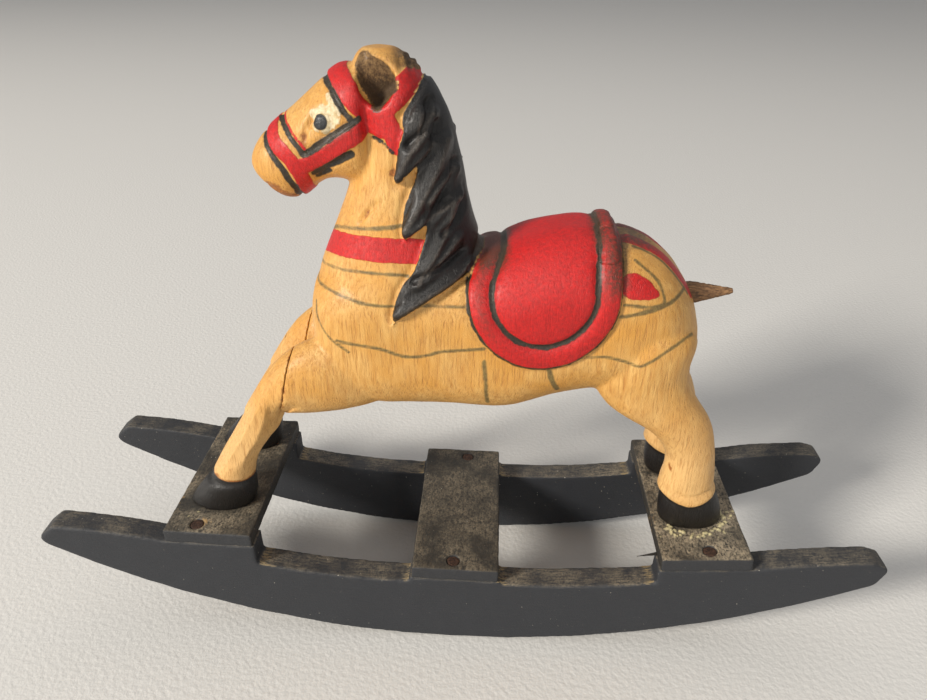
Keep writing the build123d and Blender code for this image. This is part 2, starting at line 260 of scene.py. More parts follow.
STRAPS = [  # line, half width of a red strap; the last one is a thin stroke of paint without relief
    ([(-31.4, 0, 105.4), (-30.9, 4.0, 102.6), (-28.6, 5.8, 100.2), (-27.2, 6.0, 98.2),
      (-26.4, 4.8, 95.6), (-26.2, 2.6, 93.4), (-26.2, 0, 92.4)], 1.35),
    ([(-12.4, 6.8, 105.9), (-17.8, 7.9, 103.2), (-21.8, 7.0, 100.5), (-25.2, 6.2, 98.4)], 1.4),
    ([(-20.5, 0, 113.9), (-19.5, 3.4, 112.7), (-17.4, 6.2, 110.3), (-15.2, 6.9, 107.9),
      (-12.4, 6.9, 105.0)], 1.75),
    ([(-13.0, 6.8, 106.2), (-10.4, 6.8, 108.8), (-8.0, 5.2, 111.4), (-6.2, 2.8, 113.0),
      (-5.4, 0, 113.6)], 1.9),
    ([(-11.4, 7.2, 106.4), (-10.6, 7.9, 104.6), (-9.6, 7.9, 102.4)], 1.7),
    ([(-29.3, 0, 106.6), (-28.8, 3.0, 105.2), (-26.6, 6.0, 103.0), (-24.6, 6.8, 100.6)], 0.3),
]
STRAP_SHADOWS = [  # line, half width of a dark stroke beside a strap
    ([(-33.4, 0, 103.8), (-32.8, 1.5, 102.8), (-31.0, 5.2, 99.8), (-29.3, 5.8, 97.2), (-28.3, 4.6, 94.8),
      (-27.9, 2.8, 92.8), (-27.8, 0, 91.6)], 0.62),
    ([(-29.8, 1.5, 105.6), (-27.6, 5.6, 103.1), (-25.5, 6.6, 100.6)], 0.5),
    ([(-16.0, 7.2, 106.4), (-20.4, 7.6, 103.7), (-25.0, 6.7, 100.7)], 0.62),
    ([(-22.2, 0.4, 112.2), (-20.2, 5.0, 110.6), (-18.2, 7.0, 107.8), (-17.2, 7.2, 106.4)], 0.62),
    ([(-24.4, 5.0, 97.0), (-21.0, 6.7, 98.8), (-17.6, 7.6, 101.0)], 0.7),
    ([(-24.0, 4.0, 96.2), (-21.6, 5.6, 97.6)], 0.55),
    ([(-14.4, 7.4, 103.5), (-12.6, 7.8, 102.9), (-10.6, 8.0, 101.4)], 0.3),
]
BANDS = [  # line, half width of the flat red bands on the breast and the croup
    ([(-24.6, 0, 83.4), (-20.6, 6.5, 84.8), (-15.6, 9.5, 85.4), (-9.5, 10.4, 85.4), (-5.0, 10.4, 85.6)], 2.1),
    ([(29.5, 3.4, 86.0), (34.8, 3.4, 83.8), (38.6, 4.0, 80.6), (41.8, 4.0, 76.4)], 1.7),
]
RUMP_LEAF = [(28.4, 81.8), (31.2, 81.8), (34.8, 78.6), (32.4, 77.9), (28.8, 78.6)]
BRUSH_LINES = [  # line, half width
    ([(-23.6, 0, 85.9), (-22.6, 2.0, 86.4), (-15.9, 8.3, 88.5), (-9.0, 9.3, 89.5)], 0.39),
    ([(-25.4, 0, 79.4), (-24.6, 3.0, 80.0), (-19.8, 8.9, 81.1), (-13.2, 11.3, 81.5),
      (-8.4, 11.4, 81.3)], 0.29),
    ([(-26.8, 0, 78.4), (-25.6, 5.3, 77.2), (-21.7, 9.9, 77.0), (-16.1, 12.0, 76.0), (-11.1, 12.5, 75.7),
      (-6.4, 12.6, 76.2), (2.0, 12.0, 75.8)], 0.29),
    ([(-26.0, 8.6, 74.6), (-25.3, 9.7, 72.1), (-23.1, 11.5, 68.7), (-19.4, 12.6, 66.3)], 0.26),
    ([(-21.6, 12.2, 68.4), (-14.7, 13.0, 67.8), (-10.2, 13.0, 66.2), (-5.7, 12.9, 66.3), (-2.6, 12.9, 67.3),
      (5.0, 13.0, 68.3)], 0.31),
    ([(5.0, 13.0, 65.6), (5.3, 12.2, 60.0), (5.7, 10.9, 55.2)], 0.39),
    ([(16.5, 13.4, 64.4), (17.4, 12.6, 61.5), (18.8, 10.6, 58.4)], 0.47),
    ([(20.3, 13.5, 66.0), (26.6, 12.6, 66.9), (30.8, 12.4, 65.6), (33.0, 12.8, 65.1), (35.4, 12.7, 66.8),
      (38.8, 11.6, 69.1), (42.2, 8.4, 69.9)], 0.29),
    ([(27.0, 13.4, 74.8), (31.7, 12.3, 75.5), (37.0, 10.4, 76.8), (41.4, 6.0, 78.6)], 0.38),
    ([(28.6, 12.4, 77.3), (33.3, 11.9, 76.5), (35.4, 11.3, 77.0)], 0.29),
    ([(30.4, 8.2, 83.8), (34.1, 9.5, 80.9), (35.6, 10.4, 78.4), (35.9, 10.9, 77.0)], 0.29),
    ([(30.2, 5.4, 85.4), (34.5, 5.4, 83.4), (37.9, 6.2, 80.4), (41.6, 6.0, 76.8)], 0.33),
]
MANE_OUTLINE = [
    (-6.6, 110.4), (-8.8, 106.8), (-8.7, 104.4), (-9.8, 101.0), (-10.2, 96.4), (-8.4, 97.8), (-6.5, 99.2),
    (-7.4, 96.2), (-9.0, 92.0), (-9.2, 87.6), (-7.0, 88.6), (-5.2, 89.6), (-5.8, 86.5), (-7.2, 82.8),
    (-10.0, 78.4), (-11.2, 73.4), (-8.4, 74.8), (-4.4, 77.2), (-1.0, 79.0), (1.8, 80.8), (3.4, 82.8),
    (6.6, 84.6), (9.0, 86.6), (8.0, 95.0), (3.0, 112.0), (-4.6, 113.2),
]
MANE_RIDGES = [
    [(-6.0, 7.1, 107.2), (-6.4, 7.9, 103.5), (-7.7, 8.4, 101.3), (-9.6, 8.8, 97.4)],
    [(-4.5, 5.9, 107.0), (-5.6, 7.6, 104.2), (-7.0, 8.2, 102.0)],
    [(-3.9, 7.0, 102.6), (-6.4, 8.4, 99.8), (-9.2, 8.6, 96.8)],
    [(-2.1, 4.5, 102.8), (-3.0, 6.3, 99.9), (-4.6, 8.4, 96.2), (-8.6, 10.2, 88.6)],
    [(-0.7, 3.9, 98.0), (-3.0, 7.0, 96.0), (-4.8, 8.6, 93.4)],
    [(0.2, 4.6, 93.4), (-3.0, 8.0, 91.6), (-8.3, 10.6, 88.0)],
    [(-1.1, 6.0, 92.3), (-1.7, 7.8, 89.2), (-3.0, 9.6, 86.2), (-6.6, 12.0, 80.0)],
    [(-0.4, 7.3, 86.4), (-2.1, 9.5, 84.5), (-5.2, 11.5, 81.2)],
    [(-10.4, 13.4, 74.6), (-4.8, 12.4, 78.0), (-1.3, 10.6, 79.8), (2.0, 7.6, 81.8)],
]
MANE_CUTS = [
    [(-6.5, 8.4, 99.2), (-4.4, 7.4, 101.6), (-3.6, 5.4, 105.6)],
    [(-5.2, 9.4, 89.6), (-2.4, 7.6, 94.4), (-0.8, 5.4, 99.0)],
    [(-4.2, 9.2, 90.8), (-1.8, 7.4, 93.0)],
    [(-7.4, 11.8, 80.6), (-3.8, 11.2, 82.2), (0.8, 8.0, 84.4)],
    [(-8.0, 8.6, 102.6), (-5.2, 7.0, 105.6), (-4.8, 5.0, 109.0)],
    [(-2.4, 8.6, 88.0), (0.2, 6.2, 90.6), (1.2, 4.4, 95.0)],
]
EAR_LEAF = [(-14.9, 115.9), (-12.6, 115.1), (-10.8, 113.4), (-9.5, 111.2), (-11.0, 109.4), (-12.9, 107.7),
            (-14.8, 109.9), (-16.3, 112.9), (-16.0, 114.8)]
BROKEN_CROWN, BARE_CROWN = (-7.8, 114.4), (-7.6, 114.4)  # middle of the broken spot and of its bare wood
EYE = (-22.0, 7.0, 105.8)
SEAM = [(-31.1, 64.7), (-34.1, 50.5)]
CHEEK_DIRT = [(-22.0, 7.2, 102.6), (-17.6, 7.6, 105.2)]
GOUGE = [(-16.8, 7.5, 89.4), (-15.2, 7.7, 91.3), (-13.6, 7.9, 92.8)]
PALE_PATCHES = [  # line, half width
    ([(-22.6, 6.6, 107.0), (-20.6, 7.0, 107.2), (-19.2, 6.9, 108.4)], 1.35),
    ([(-21.4, 7.0, 104.6), (-19.4, 7.4, 105.8)], 0.8),
    ([(-20.6, 6.0, 110.2), (-20.2, 6.6, 109.0)], 0.6),
    ([(-32.0, 3.0, 104.4), (-31.4, 4.4, 103.2)], 0.25),
    ([(-10.6, 6.2, 110.4), (-11.6, 6.4, 109.0)], 0.3),
]
STAINS = [  # line, half width of rubbed and dirty spots, knots and small nicks
    ([(-33.0, 5.0, 92.4), (-31.2, 3.4, 91.4), (-29.4, 1.6, 91.0)], 1.7),
    ([(-16.6, 7.5, 89.6), (-15.2, 7.7, 91.3)], 0.12),
    ([(-10.9, 8.0, 98.2), (-10.8, 8.0, 98.0)], 0.3),
    ([(42.4, 10.0, 40.8), (42.5, 10.0, 39.9)], 0.35),
    ([(-25.6, 6.9, 101.6), (-25.2, 6.9, 103.4)], 0.45),
]
FACE_CUTS = [  # line, width, depth
    ([(-25.0, 6.7, 102.8), (-24.7, 6.5, 104.6), (-23.4, 6.6, 106.4)], 0.4, 0.5),
    ([(-35.6, 0, 94.4), (-33.6, 3.2, 94.0), (-31.4, 4.4, 93.6)], 0.35, 0.25),
    ([(-17.8, 7.2, 106.8), (-18.2, 7.2, 108.0)], 0.4, 0.3),
]


SKIN_REACH = 2.6  # a given point moves to the skin from no farther than this, in mm


def laid_on(search, line):
    """A smooth line with each of its points moved to the skin, where the skin is near."""
    laid = []
    for point in flowing(line):
        spot, _, away = search.find(point)
        laid.append(spot if away < SKIN_REACH else point)
    laid = np.array(laid)
    for _ in range(3):
        laid[1:-1] = (laid[:-2] + 2 * laid[1:-1] + laid[2:]) / 4
    return laid


def nearest_of(places, search, strokes):
    """Distance from the edge of the nearest of several strokes, negative on a stroke."""
    best = np.full(len(places), np.inf)
    for line, half_width in strokes:
        best = np.minimum(best, stroke_distance(places, laid_on(search, line)) - half_width)
    return best


def nearest_line(flat, lines):
    """Distance from the nearest of several lines, seen square from the side."""
    best = np.full(len(flat), np.inf)
    for line in lines:
        best = np.minimum(best, stroke_distance(flat, flowing(line)[:, [0, 2]]))
    return best


def skin_search(places):
    """Search tree of the skin's points, as (x, distance from the middle plane, z)."""
    search = kdtree.KDTree(len(places))
    for k, point in enumerate(places):
        search.insert(point, k)
    search.balance()
    return search


def mirrored(points):
    """The skin's points as (x, distance from the horse's middle plane, z), with their search tree."""
    places = np.column_stack([points[:, 0], np.abs(points[:, 1] - HORSE_Y), points[:, 2]])
    return places, skin_search(places)


def saddle_edge(x, z):
    """Distance from the saddle flap's edge, negative on the saddle: straight above, half an ellipse below."""
    middle, half = (SADDLE_FRONT + SADDLE_REAR) / 2, (SADDLE_REAR - SADDLE_FRONT) / 2
    lean = np.clip(z - 80.0, 0, 6) * 0.45
    above = np.maximum(SADDLE_FRONT + lean - x, x - SADDLE_REAR)
    reach = np.hypot((x - middle) / half, (z - SADDLE_TURN) / SADDLE_DROP)
    below = (reach - 1) * SADDLE_MEAN
    return np.where(z < FLAP_LOW, 5.0, np.where(z > SADDLE_TURN, above, below))


def mane_edge(places):
    """Distance from the mane's outline, seen square from the side, negative on the mane."""
    return outline_distance(places[:, [0, 2]], flowing(MANE_OUTLINE, closed=True, steps=4))


def ear_edge(places):
    """Distance from the outline of the ear's hollow, negative in the hollow."""
    return outline_distance(places[:, [0, 2]], flowing(EAR_LEAF, closed=True))


def hoof_top(x, z):
    """Height over the line where hoof paint starts, negative on a hoof."""
    fore_line = 36.6 - 0.16 * (x + 50.0)
    hind_line = 32.0 + 0.11 * np.abs(x - 46.6) ** 1.6
    return np.where(z < HOOF_HIGH, z - np.where(x > 0, hind_line, fore_line), FAR)


def ease_cantle(points):
    """Lets both ends of the saddle's raised cantle sink into the flap instead of stopping square."""
    side = np.abs(points[:, 1] - HORSE_Y)
    heights = np.arange(84.0, 91.0, 0.5)
    beside = np.abs(points[:, 0] - 22.4) < 0.6
    flush = [np.max(side[beside & (np.abs(points[:, 2] - height) < 0.5)], initial=0.0) for height in heights]
    proud = np.clip(side - np.interp(points[:, 2], heights, flush), 0, None)
    sunk = proud * (1 - ramp(points[:, 2], 84.5, 90.5))
    on_cantle = (np.abs(points[:, 0] - CANTLE_X) < CANTLE_HALF) & (points[:, 2] > CANTLE_LOW)
    points[:, 1] -= np.where(on_cantle, sunk, 0.0) * np.sign(points[:, 1] - HORSE_Y)


SHIN_HEIGHTS = [37.5, 42.0, 46.0, 50.0, 54.0]
SHIN_MIDDLES = [-45.8, -43.5, -40.9, -38.8, -37.1]  # x at those heights
SHIN_HALVES = [4.1, 3.9, 4.0, 3.6, 2.6]  # half the leg's length along x
SHIN_HALF_WIDTH = 4.2
LEG_SPREAD = ((32.6, 54.0), (10.0, 8.9))  # heights, and there the leg's distance from the middle plane
SHIN_CUTS = [(38, 0.91), (92, 0.94), (142, 0.91)]  # degrees from straight ahead, share of the leg that stays


def plane_shin(points):
    """Flat knife cuts down a foreleg, the same on its outer and inner half."""
    x, z = points[:, 0], points[:, 2]
    middle = np.interp(z, SHIN_HEIGHTS, SHIN_MIDDLES)
    half = np.interp(z, SHIN_HEIGHTS, SHIN_HALVES)
    spread = HORSE_Y + np.sign(points[:, 1] - HORSE_Y) * np.interp(z, *LEG_SPREAD)
    in_reach = ramp(z, 38.5, 41.5) * (1 - ramp(z, 52.0, 56.0)) * (x < -30.0)
    for degrees, share in [(turned * way, share) for turned, share in SHIN_CUTS for way in (1, -1)]:
        way_x, way_y = math.cos(math.radians(degrees)), math.sin(math.radians(degrees))
        reach = np.hypot(half * way_x, SHIN_HALF_WIDTH * way_y)
        out = (points[:, 0] - middle) * way_x + (points[:, 1] - spread) * way_y
        over = np.clip(out - share * reach, 0, 0.9)
        points[:, 0] -= over * way_x * in_reach
        points[:, 1] -= over * way_y * in_reach


# ---- wood, paint and metal -----------------------------------------------------------

SHARE, UNDER, OVER = 0, 6, 7  # sockets of a colour Mix node: how much, the colour below, the colour on top
MIXED = 2  # its outgoing colour
UNDER_VALUE, OVER_VALUE = 2, 3  # the sockets below and on top of a number Mix node
WOOD_IOR = 1.5  # varnish and paint on wood
NOISE_TO_ONE = 5  # a noise node strays about a fifth from its middle; this makes that about 1

# Honey-stained pale hardwood under rubbed varnish: the tool left it smooth, pores run upright, and every
# colour is brushed on by hand, so edges waver, gloss differs and the wood shows through where it is rubbed.
# The ridge layer is no paint but a painted highlight, grey along the crests of the mane's locks.
LAYERS = [  # attribute, colour, second colour, roughness, waver and softness of its edge in mm, thickness
    ("stain", "#B06E2C", "#84501E", 0.55, 0.50, 0.25, 0.0),
    ("lines", "#66502A", "#86703C", 0.50, 0.08, 0.15, 0.1),
    ("pale", "#E6D6B4", "#C2A878", 0.62, 0.42, 0.15, 0.3),
    ("red", "#CB0F0B", "#A80908", 0.46, 0.12, 0.07, 0.6),
    # dark: strokes beside the straps and round the flap, widened in front and below as a painted shadow
    ("dark", "#1E1812", "#38301E", 0.46, 0.14, 0.10, 0.4),
    ("black", "#080605", "#150F0B", 0.42, 0.08, 0.07, 0.4),
    # painted highlight along the crests of the mane's locks
    ("ridge_highlight", "#544C44", "#241F1B", 0.38, 0.16, 0.22, 0.1),
    ("bare", "#94744A", "#54391F", 0.85, 0.30, 0.10, -0.6),
    ("eye", "#17181B", "#26282C", 0.36, 0.05, 0.07, 0.6),
]


def painted_hardwood():
    """The horse's bare wood with every layer of LAYERS over it, each where its mark lies."""
    material, tree, shader, mm = new_material("honey_stained_hardwood_hand_painted")
    upright = add(tree, "ShaderNodeMapping", {"Vector": mm, "Scale": (1.0, 1.0, 0.16)}).outputs["Vector"]
    grain = add(tree, "ShaderNodeTexNoise",
                {"Vector": upright, "Scale": 0.9, "Detail": 6.0, "Roughness": 0.65})
    fibres = add(tree, "ShaderNodeMapping", {"Vector": mm, "Scale": (1.0, 1.0, 0.08)}).outputs["Vector"]
    pores = add(tree, "ShaderNodeTexNoise", {"Vector": fibres, "Scale": 3.0, "Detail": 3.0, "Roughness": 0.7})
    blotch = add(tree, "ShaderNodeTexNoise", {"Vector": mm, "Scale": 0.11, "Detail": 3.0, "Roughness": 0.5})
    fine = add(tree, "ShaderNodeTexNoise", {"Vector": mm, "Scale": 1.6, "Detail": 5.0, "Roughness": 0.65})
    tremor = add(tree, "ShaderNodeTexNoise", {"Vector": mm, "Scale": 0.6, "Detail": 3.0, "Roughness": 0.55})
    speck = add(tree, "ShaderNodeTexNoise", {"Vector": mm, "Scale": 5.0, "Detail": 4.0, "Roughness": 0.7})
    tone = add(tree, "ShaderNodeValToRGB", {"Fac": grain.outputs["Fac"]})
    tone.color_ramp.elements[0].position = 0.3
    tone.color_ramp.elements[0].color = srgb("#C0883E")
    tone.color_ramp.elements[1].position = 0.7
    tone.color_ramp.elements[1].color = srgb("#E0B268")
    warm = add(tree, "ShaderNodeMapRange",
               {"Value": blotch.outputs["Fac"], "From Min": 0.42, "From Max": 0.68}).outputs[0]
    base = add(tree, "ShaderNodeMix", {SHARE: warm, UNDER: tone.outputs["Color"], OVER: srgb("#D09540")},
               data_type="RGBA").outputs[MIXED]
    low_down = add(tree, "ShaderNodeSeparateXYZ", {"Vector": mm}).outputs["Z"]
    thin_stain = add(tree, "ShaderNodeMapRange",
                     {"Value": low_down, "From Min": 60.0, "From Max": 42.0, "To Max": 0.5}).outputs[0]
    base = add(tree, "ShaderNodeMix", {SHARE: thin_stain, UNDER: base, OVER: srgb("#E6BF86")},
               data_type="RGBA").outputs[MIXED]
    open_pores = add(tree, "ShaderNodeMapRange",
                     {"Value": pores.outputs["Fac"], "From Min": 0.50, "From Max": 0.80}).outputs[0]
    base = add(tree, "ShaderNodeMix", {SHARE: open_pores, UNDER: base, OVER: srgb("#B07636")},
               data_type="RGBA").outputs[MIXED]
    rough = add(tree, "ShaderNodeMapRange",
                {"Value": blotch.outputs["Fac"], "To Min": 0.38, "To Max": 0.56}).outputs[0]
    height = add(tree, "ShaderNodeMath", {0: open_pores, 1: -0.5}, operation="MULTIPLY").outputs[0]
    for name, colour, second, gloss, edge, softness, thickness in LAYERS:
        source = add(tree, "ShaderNodeAttribute", attribute_name=name)
        centred = add(tree, "ShaderNodeMath", {0: tremor.outputs["Fac"], 1: 0.5},
                      operation="SUBTRACT").outputs[0]
        wobble = add(tree, "ShaderNodeMath", {0: centred, 1: edge * NOISE_TO_ONE, 2: source.outputs["Fac"]},
                     operation="MULTIPLY_ADD").outputs[0]
        mask = add(tree, "ShaderNodeMapRange",
                   {"Value": wobble, "From Min": softness, "From Max": -softness}).outputs[0]
        shade = add(tree, "ShaderNodeMapRange",
                    {"Value": fine.outputs["Fac"], "From Min": 0.35, "From Max": 0.65}).outputs[0]
        layer = add(tree, "ShaderNodeMix", {SHARE: shade, UNDER: srgb(colour), OVER: srgb(second)},
                    data_type="RGBA").outputs[MIXED]
        base = add(tree, "ShaderNodeMix", {SHARE: mask, UNDER: base, OVER: layer},
                   data_type="RGBA").outputs[MIXED]
        rough = add(tree, "ShaderNodeMix", {SHARE: mask, UNDER_VALUE: rough, OVER_VALUE: gloss},
                    data_type="FLOAT").outputs[0]
        height = add(tree, "ShaderNodeMath", {0: mask, 1: thickness, 2: height},
                     operation="MULTIPLY_ADD").outputs[0]
    # Dirt, and painted shade between the legs and in the ear's hollow, darkening towards a deep brown
    grime_and_shade_source = add(tree, "ShaderNodeAttribute", attribute_name="grime_and_shade")
    grime_and_shade_spread = add(tree, "ShaderNodeMath", {0: grime_and_shade_source.outputs["Fac"], 1: fine.outputs["Fac"]},
                       operation="MULTIPLY").outputs[0]
    grime_and_shade = add(tree, "ShaderNodeMapRange", {"Value": grime_and_shade_spread, "From Min": 0.10, "From Max": 0.60,
                                             "To Max": 0.85}).outputs[0]
    base = add(tree, "ShaderNodeMix", {SHARE: grime_and_shade, UNDER: base, OVER: srgb("#3E2E1C")},
               data_type="RGBA").outputs[MIXED]
    height = add(tree, "ShaderNodeMath", {0: speck.outputs["Fac"], 1: 0.55, 2: height},
                 operation="MULTIPLY_ADD").outputs[0]
    relief = add(tree, "ShaderNodeBump", {"Height": height, "Strength": 0.8, "Distance": 0.22 * MM})
    tree.links.new(base, shader.inputs["Base Color"])
    tree.links.new(rough, shader.inputs["Roughness"])
    tree.links.new(relief.outputs["Normal"], shader.inputs["Normal"])
    shader.inputs["IOR"].default_value = WOOD_IOR
    shader.inputs["Coat Weight"].default_value = 0.12
    shader.inputs["Coat Roughness"].default_value = 0.3
    return material


def worn_paint(name, low, high, rubbed, dust, gloss, fibre_way):
    """Thin dark paint on sawn wood, rubbed on the upper faces and edges, with dust in its texture."""
    material, tree, shader, mm = new_material(name)
    along = add(tree, "ShaderNodeMapping", {"Vector": mm, "Scale": fibre_way}).outputs["Vector"]
    grain = add(tree, "ShaderNodeTexNoise", {"Vector": along, "Scale": 2.2, "Detail": 6.0, "Roughness": 0.7})
    speck = add(tree, "ShaderNodeTexNoise", {"Vector": mm, "Scale": 2.4, "Detail": 5.0, "Roughness": 0.75})
    patch = add(tree, "ShaderNodeTexNoise", {"Vector": mm, "Scale": 0.16, "Detail": 4.0, "Roughness": 0.6})
    where = add(tree, "ShaderNodeAttribute", attribute_name="rubbed")
    paint = add(tree, "ShaderNodeMix", {SHARE: speck.outputs["Fac"], UNDER: srgb(low), OVER: srgb(high)},
                data_type="RGBA").outputs[MIXED]
    faces = add(tree, "ShaderNodeNewGeometry")
    upward = add(tree, "ShaderNodeSeparateXYZ", {"Vector": faces.outputs["True Normal"]}).outputs["Z"]
    facing = add(tree, "ShaderNodeMapRange", {"Value": upward, "From Min": 0.4, "From Max": 0.95}).outputs[0]
    streaks = add(tree, "ShaderNodeMath", {0: grain.outputs["Fac"], 1: speck.outputs["Fac"]}).outputs[0]
    dusty = add(tree, "ShaderNodeMapRange", {"Value": streaks, "From Min": 0.82, "From Max": 1.22}).outputs[0]
    settled = add(tree, "ShaderNodeMath", {0: facing, 1: dusty}, operation="MULTIPLY").outputs[0]
    thin = add(tree, "ShaderNodeMapRange", {"Value": patch.outputs["Fac"], "From Min": 0.38, "From Max": 0.62,
                                            "To Min": 0.2, "To Max": 1.45}).outputs[0]
    settled = add(tree, "ShaderNodeMath", {0: settled, 1: thin}, operation="MULTIPLY").outputs[0]
    layer = add(tree, "ShaderNodeAttribute", attribute_name="dust")
    settled = add(tree, "ShaderNodeMath", {0: settled, 1: layer.outputs["Fac"]}, operation="MULTIPLY",
                  use_clamp=True).outputs[0]
    colour = add(tree, "ShaderNodeMix", {SHARE: settled, UNDER: paint, OVER: srgb(dust)},
                 data_type="RGBA").outputs[MIXED]
    scratch = add(tree, "ShaderNodeMath", {0: where.outputs["Fac"], 1: grain.outputs["Fac"]},
                  operation="MULTIPLY").outputs[0]
    bare = add(tree, "ShaderNodeMapRange", {"Value": scratch, "From Min": 0.40, "From Max": 0.52}).outputs[0]
    colour = add(tree, "ShaderNodeMix", {SHARE: bare, UNDER: colour, OVER: srgb(rubbed)},
                 data_type="RGBA").outputs[MIXED]
    ends = add(tree, "ShaderNodeAttribute", attribute_name="painted_end").outputs["Fac"]
    colour = add(tree, "ShaderNodeMix", {SHARE: ends, UNDER: colour, OVER: srgb("#2A2B2E")},
                 data_type="RGBA").outputs[MIXED]
    # sparse pale specks scattered over the paint
    dots = add(tree, "ShaderNodeTexNoise", {"Vector": mm, "Scale": 1.9, "Detail": 2.0, "Roughness": 0.5})
    pale_specks = add(tree, "ShaderNodeMapRange",
                {"Value": dots.outputs["Fac"], "From Min": 0.735, "From Max": 0.76, "To Max": 0.8}).outputs[0]
    colour = add(tree, "ShaderNodeMix", {SHARE: pale_specks, UNDER: colour, OVER: srgb("#B9B2A4")},
                 data_type="RGBA").outputs[MIXED]
    glue = add(tree, "ShaderNodeAttribute", attribute_name="glue").outputs["Fac"]
    colour = add(tree, "ShaderNodeMix", {SHARE: glue, UNDER: colour, OVER: srgb("#C6B98E")},
                 data_type="RGBA").outputs[MIXED]
    rough = add(tree, "ShaderNodeMapRange", {"Value": speck.outputs["Fac"], "To Min": gloss - 0.12,
                                             "To Max": gloss + 0.15}).outputs[0]
    rough = add(tree, "ShaderNodeMix", {SHARE: glue, UNDER_VALUE: rough, OVER_VALUE: 0.25},
                data_type="FLOAT").outputs[0]
    mixed = add(tree, "ShaderNodeMath", {0: grain.outputs["Fac"], 1: 0.8, 2: speck.outputs["Fac"]},
                operation="MULTIPLY_ADD").outputs[0]
    relief = add(tree, "ShaderNodeBump", {"Height": mixed, "Strength": 0.5, "Distance": 0.22 * MM})
    tree.links.new(colour, shader.inputs["Base Color"])
    tree.links.new(rough, shader.inputs["Roughness"])
    tree.links.new(relief.outputs["Normal"], shader.inputs["Normal"])
    shader.inputs["IOR"].default_value = WOOD_IOR
    return material


def rusted_wire():
    """Wire nails, hammered in and rusted: brown-red scale with darker pits."""
    material, tree, shader, mm = new_material("wire_nail_steel_rusted")
    scale = add(tree, "ShaderNodeTexNoise", {"Vector": mm, "Scale": 2.4, "Detail": 5.0, "Roughness": 0.7})
    rust = add(tree, "ShaderNodeValToRGB", {"Fac": scale.outputs["Fac"]})
    rust.color_ramp.elements[0].position = 0.36
    rust.color_ramp.elements[0].color = srgb("#1E1613")
    rust.color_ramp.elements[1].position = 0.66
    rust.color_ramp.elements[1].color = srgb("#5E4334")
    pits = add(tree, "ShaderNodeBump",
               {"Height": scale.outputs["Fac"], "Strength": 0.7, "Distance": 0.2 * MM})
    tree.links.new(rust.outputs["Color"], shader.inputs["Base Color"])
    tree.links.new(pits.outputs["Normal"], shader.inputs["Normal"])
    shader.inputs["Metallic"].default_value = 0.35
    shader.inputs["Roughness"].default_value = 0.62
    return material


def whittled_softwood():
    """A whittled stick, never painted: brown fibres along its length, broken at the tip."""
    material, tree, shader, mm = new_material("whittled_softwood_unfinished")
    fibre_way = add(tree, "ShaderNodeMapping", {"Vector": mm, "Scale": (0.2, 1.6, 1.6)}).outputs["Vector"]
    fibre = add(tree, "ShaderNodeTexNoise",
                {"Vector": fibre_way, "Scale": 2.0, "Detail": 5.0, "Roughness": 0.7})
    brown = add(tree, "ShaderNodeValToRGB", {"Fac": fibre.outputs["Fac"]})
    brown.color_ramp.elements[0].position = 0.35
    brown.color_ramp.elements[0].color = srgb("#4A3222")
    brown.color_ramp.elements[1].position = 0.68
    brown.color_ramp.elements[1].color = srgb("#A27A52")
    ribs = add(tree, "ShaderNodeBump",
               {"Height": fibre.outputs["Fac"], "Strength": 0.6, "Distance": 0.2 * MM})
    tree.links.new(brown.outputs["Color"], shader.inputs["Base Color"])
    tree.links.new(ribs.outputs["Normal"], shader.inputs["Normal"])
    shader.inputs["Roughness"].default_value = 0.75
    return material


painted_wood = painted_hardwood()
rusted_steel = rusted_wire()
bare_wood = whittled_softwood()
# Sawn plank under thin matte black paint: charcoal sides, dusty tops, bare tan wood where it is rubbed.
charcoal_paint = worn_paint("sawn_plank_matte_charcoal_paint",
                            "#1F2125", "#303237", "#96835F", "#918570", 0.60, (0.15, 1.2, 1.0))
# The same paint on the slats, rubbed thinner and full of brown dust.
slat_paint = worn_paint("sawn_slat_dusty_dark_paint",
                        "#1F1E1D", "#343029", "#9A7C50", "#9E9079", 0.60, (1.1, 0.45, 1.0))

# Studio floor: plain pale matt sheet.
floor_sheet, tree, shader, mm = new_material("pale_matt_sheet")
tooth = add(tree, "ShaderNodeTexNoise", {"Vector": mm, "Scale": 0.9, "Detail": 3.0})
soft_tooth = add(tree, "ShaderNodeBump",
                 {"Height": tooth.outputs["Fac"], "Strength": 0.6, "Distance": 0.3 * MM})
shader.inputs["Base Color"].default_value = srgb("#D6D4D0")
shader.inputs["Roughness"].default_value = 0.7
tree.links.new(soft_tooth.outputs["Normal"], shader.inputs["Normal"])

bpy.ops.object.select_all(action="DESELECT")
bpy.ops.mesh.primitive_plane_add(size=8.0, location=(0.0, 0.0, 0.0))
floor = bpy.context.active_object
floor.name = "floor"
floor.data.materials.append(floor_sheet)

world = bpy.data.worlds.new("soft_room")
world.use_nodes = True
world.node_tree.nodes["Background"].inputs["Color"].default_value = (0.96, 0.97, 1.0, 1.0)
world.node_tree.nodes["Background"].inputs["Strength"].default_value = 0.30
bpy.context.scene.world = world


# ---- the carved horse ----------------------------------------------------------------


def red_paint(places, search, saddle):
    """Red of the straps, the bands, the rump leaf and the saddle."""
    leaf = outline_distance(places[:, [0, 2]], flowing(RUMP_LEAF, closed=True))
    red = np.minimum(nearest_of(places, search, STRAPS + BANDS), saddle)
    return np.minimum(red, np.where(places[:, 1] > 6, leaf, FAR))


